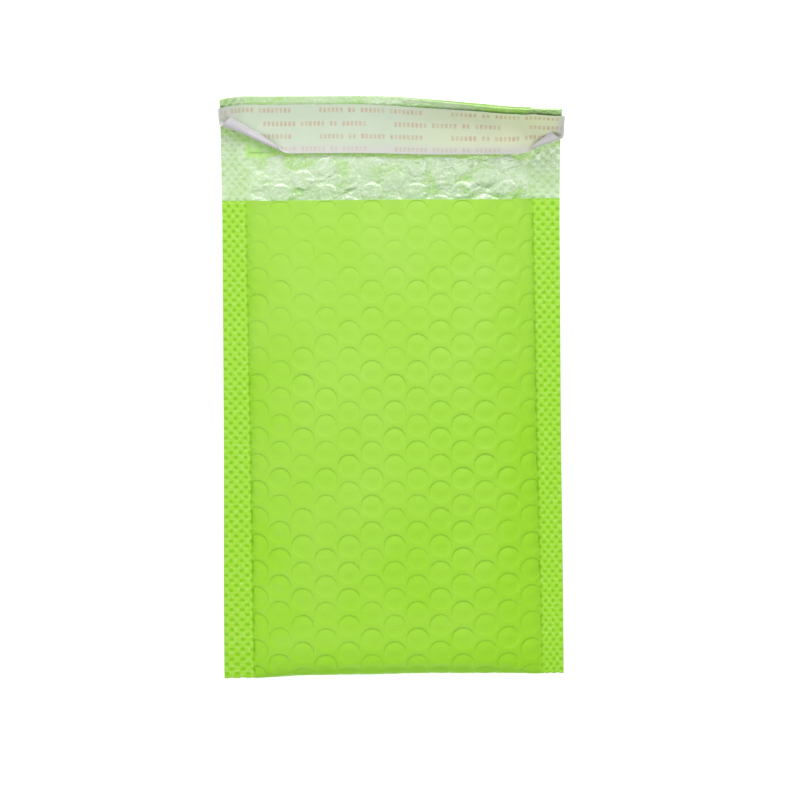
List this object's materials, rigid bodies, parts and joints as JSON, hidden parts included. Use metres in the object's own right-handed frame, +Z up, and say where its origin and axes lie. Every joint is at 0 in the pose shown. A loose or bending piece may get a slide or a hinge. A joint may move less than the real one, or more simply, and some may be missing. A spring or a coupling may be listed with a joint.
{
  "type": "bubble mailer",
  "caption": "Padded envelope of green film with a bubble lining, sealed down both sides, folded at the bottom, with an open flap that carries an adhesive strip under a release liner.",
  "frame": {"origin": "centre of the mailer's box, on the floor under it", "axes": "+Z up out of the front panel, +Y along the mailer from the bottom fold to the flap, +X to the right as the front panel is looked down on"},
  "size_m": [0.1516, 0.2572, 0.0267],
  "materials": {
    "outer_film": "satin lime polyethylene film, printed through with the outline of every bubble",
    "bubble_lining": "clear glossy bubble film, seen over the green film",
    "adhesive_strip": "clear tacky hot-melt",
    "release_liner": "frosted translucent film with rows of faint red-brown bars"
  },
  "bodies": {
    "root": {"outer_film": "outer_film", "bubble_lining": "bubble_lining", "adhesive_strip": "adhesive_strip", "release_liner": "release_liner"}
  },
  "joints": []
}
